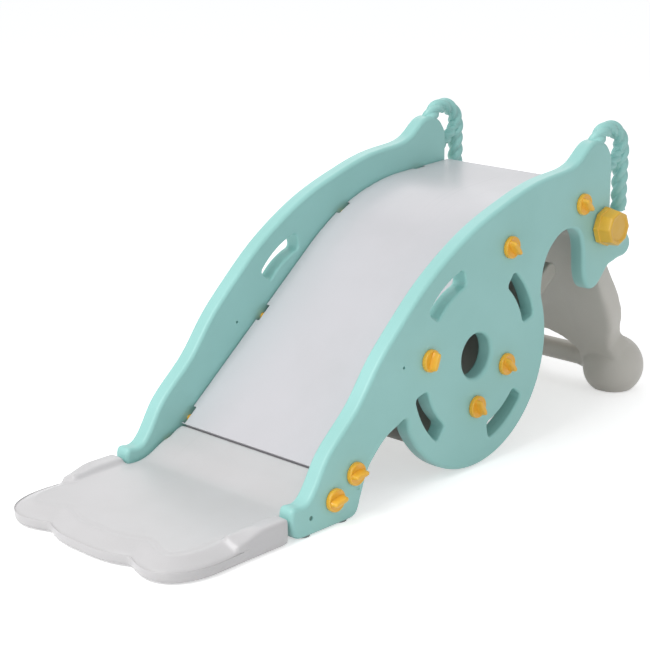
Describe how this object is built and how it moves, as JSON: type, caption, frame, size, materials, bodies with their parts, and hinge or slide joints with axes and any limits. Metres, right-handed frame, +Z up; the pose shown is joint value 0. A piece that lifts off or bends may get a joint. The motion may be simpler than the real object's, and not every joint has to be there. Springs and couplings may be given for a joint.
{
  "type": "toddler slide",
  "caption": "Low indoor toddler slide: wheel-shaped side panels with rope-look handles, a lobed run-out chute and a step ladder that folds in under the platform.",
  "frame": {"origin": "on the floor at the middle of the footprint", "axes": "+X towards the ladder, +Y to the right of a child who faces the run-out, +Z up"},
  "size_m": [1.4526, 0.5566, 0.6295],
  "materials": {
    "panel": "satin moulded, fine grain",
    "chute": "smooth moulded",
    "ladder": "satin moulded",
    "board": "satin moulded",
    "wing_bolt": "moulded",
    "clamp_knob": "moulded",
    "socket": "moulded",
    "bush": "natural",
    "washer": "natural",
    "vent_plug": "moulded",
    "tube": "drawn",
    "screw": "zinc plated",
    "pad": "moulded"
  },
  "bodies": {
    "frame": {"side_panel_left": "panel", "rope_handle_left": "panel", "wing_bolts_left": "wing_bolt", "bolt_sockets_left": "socket", "pivot_bush_left": "bush", "clamp_washer_left": "washer", "side_panel_right": "panel", "rope_handle_right": "panel", "wing_bolts_right": "wing_bolt", "bolt_sockets_right": "socket", "pivot_bush_right": "bush", "clamp_washer_right": "washer", "vent_plugs": "vent_plug", "chute_upper": "chute", "run_out": "chute", "seam_screws": "screw", "brace_board": "board", "rear_beam": "board", "pivot_tube": "tube", "panel_foot_pads": "pad", "run_out_pads": "pad"},
    "ladder": {"ladder": "ladder", "ladder_step_upper": "ladder", "ladder_step_lower": "ladder", "ladder_foot_pads": "pad"},
    "clamp_left": {"clamp_knob_left": "clamp_knob"},
    "clamp_right": {"clamp_knob_right": "clamp_knob"}
  },
  "joints": [
    {"name": "ladder_fold", "type": "hinge", "parent": "frame", "child": "ladder", "pos_m": [0.47472, 0, 0.418], "axis": [0, 1, 0], "range_deg": [0, 65]},
    {"name": "clamp_left_turn", "type": "hinge", "parent": "frame", "child": "clamp_left", "pos_m": [0.47472, -0.258, 0.418], "axis": [0, -1, 0], "range_deg": [0, 90]},
    {"name": "clamp_right_turn", "type": "hinge", "parent": "frame", "child": "clamp_right", "pos_m": [0.47472, 0.258, 0.418], "axis": [0, 1, 0], "range_deg": [0, 90]}
  ]
}
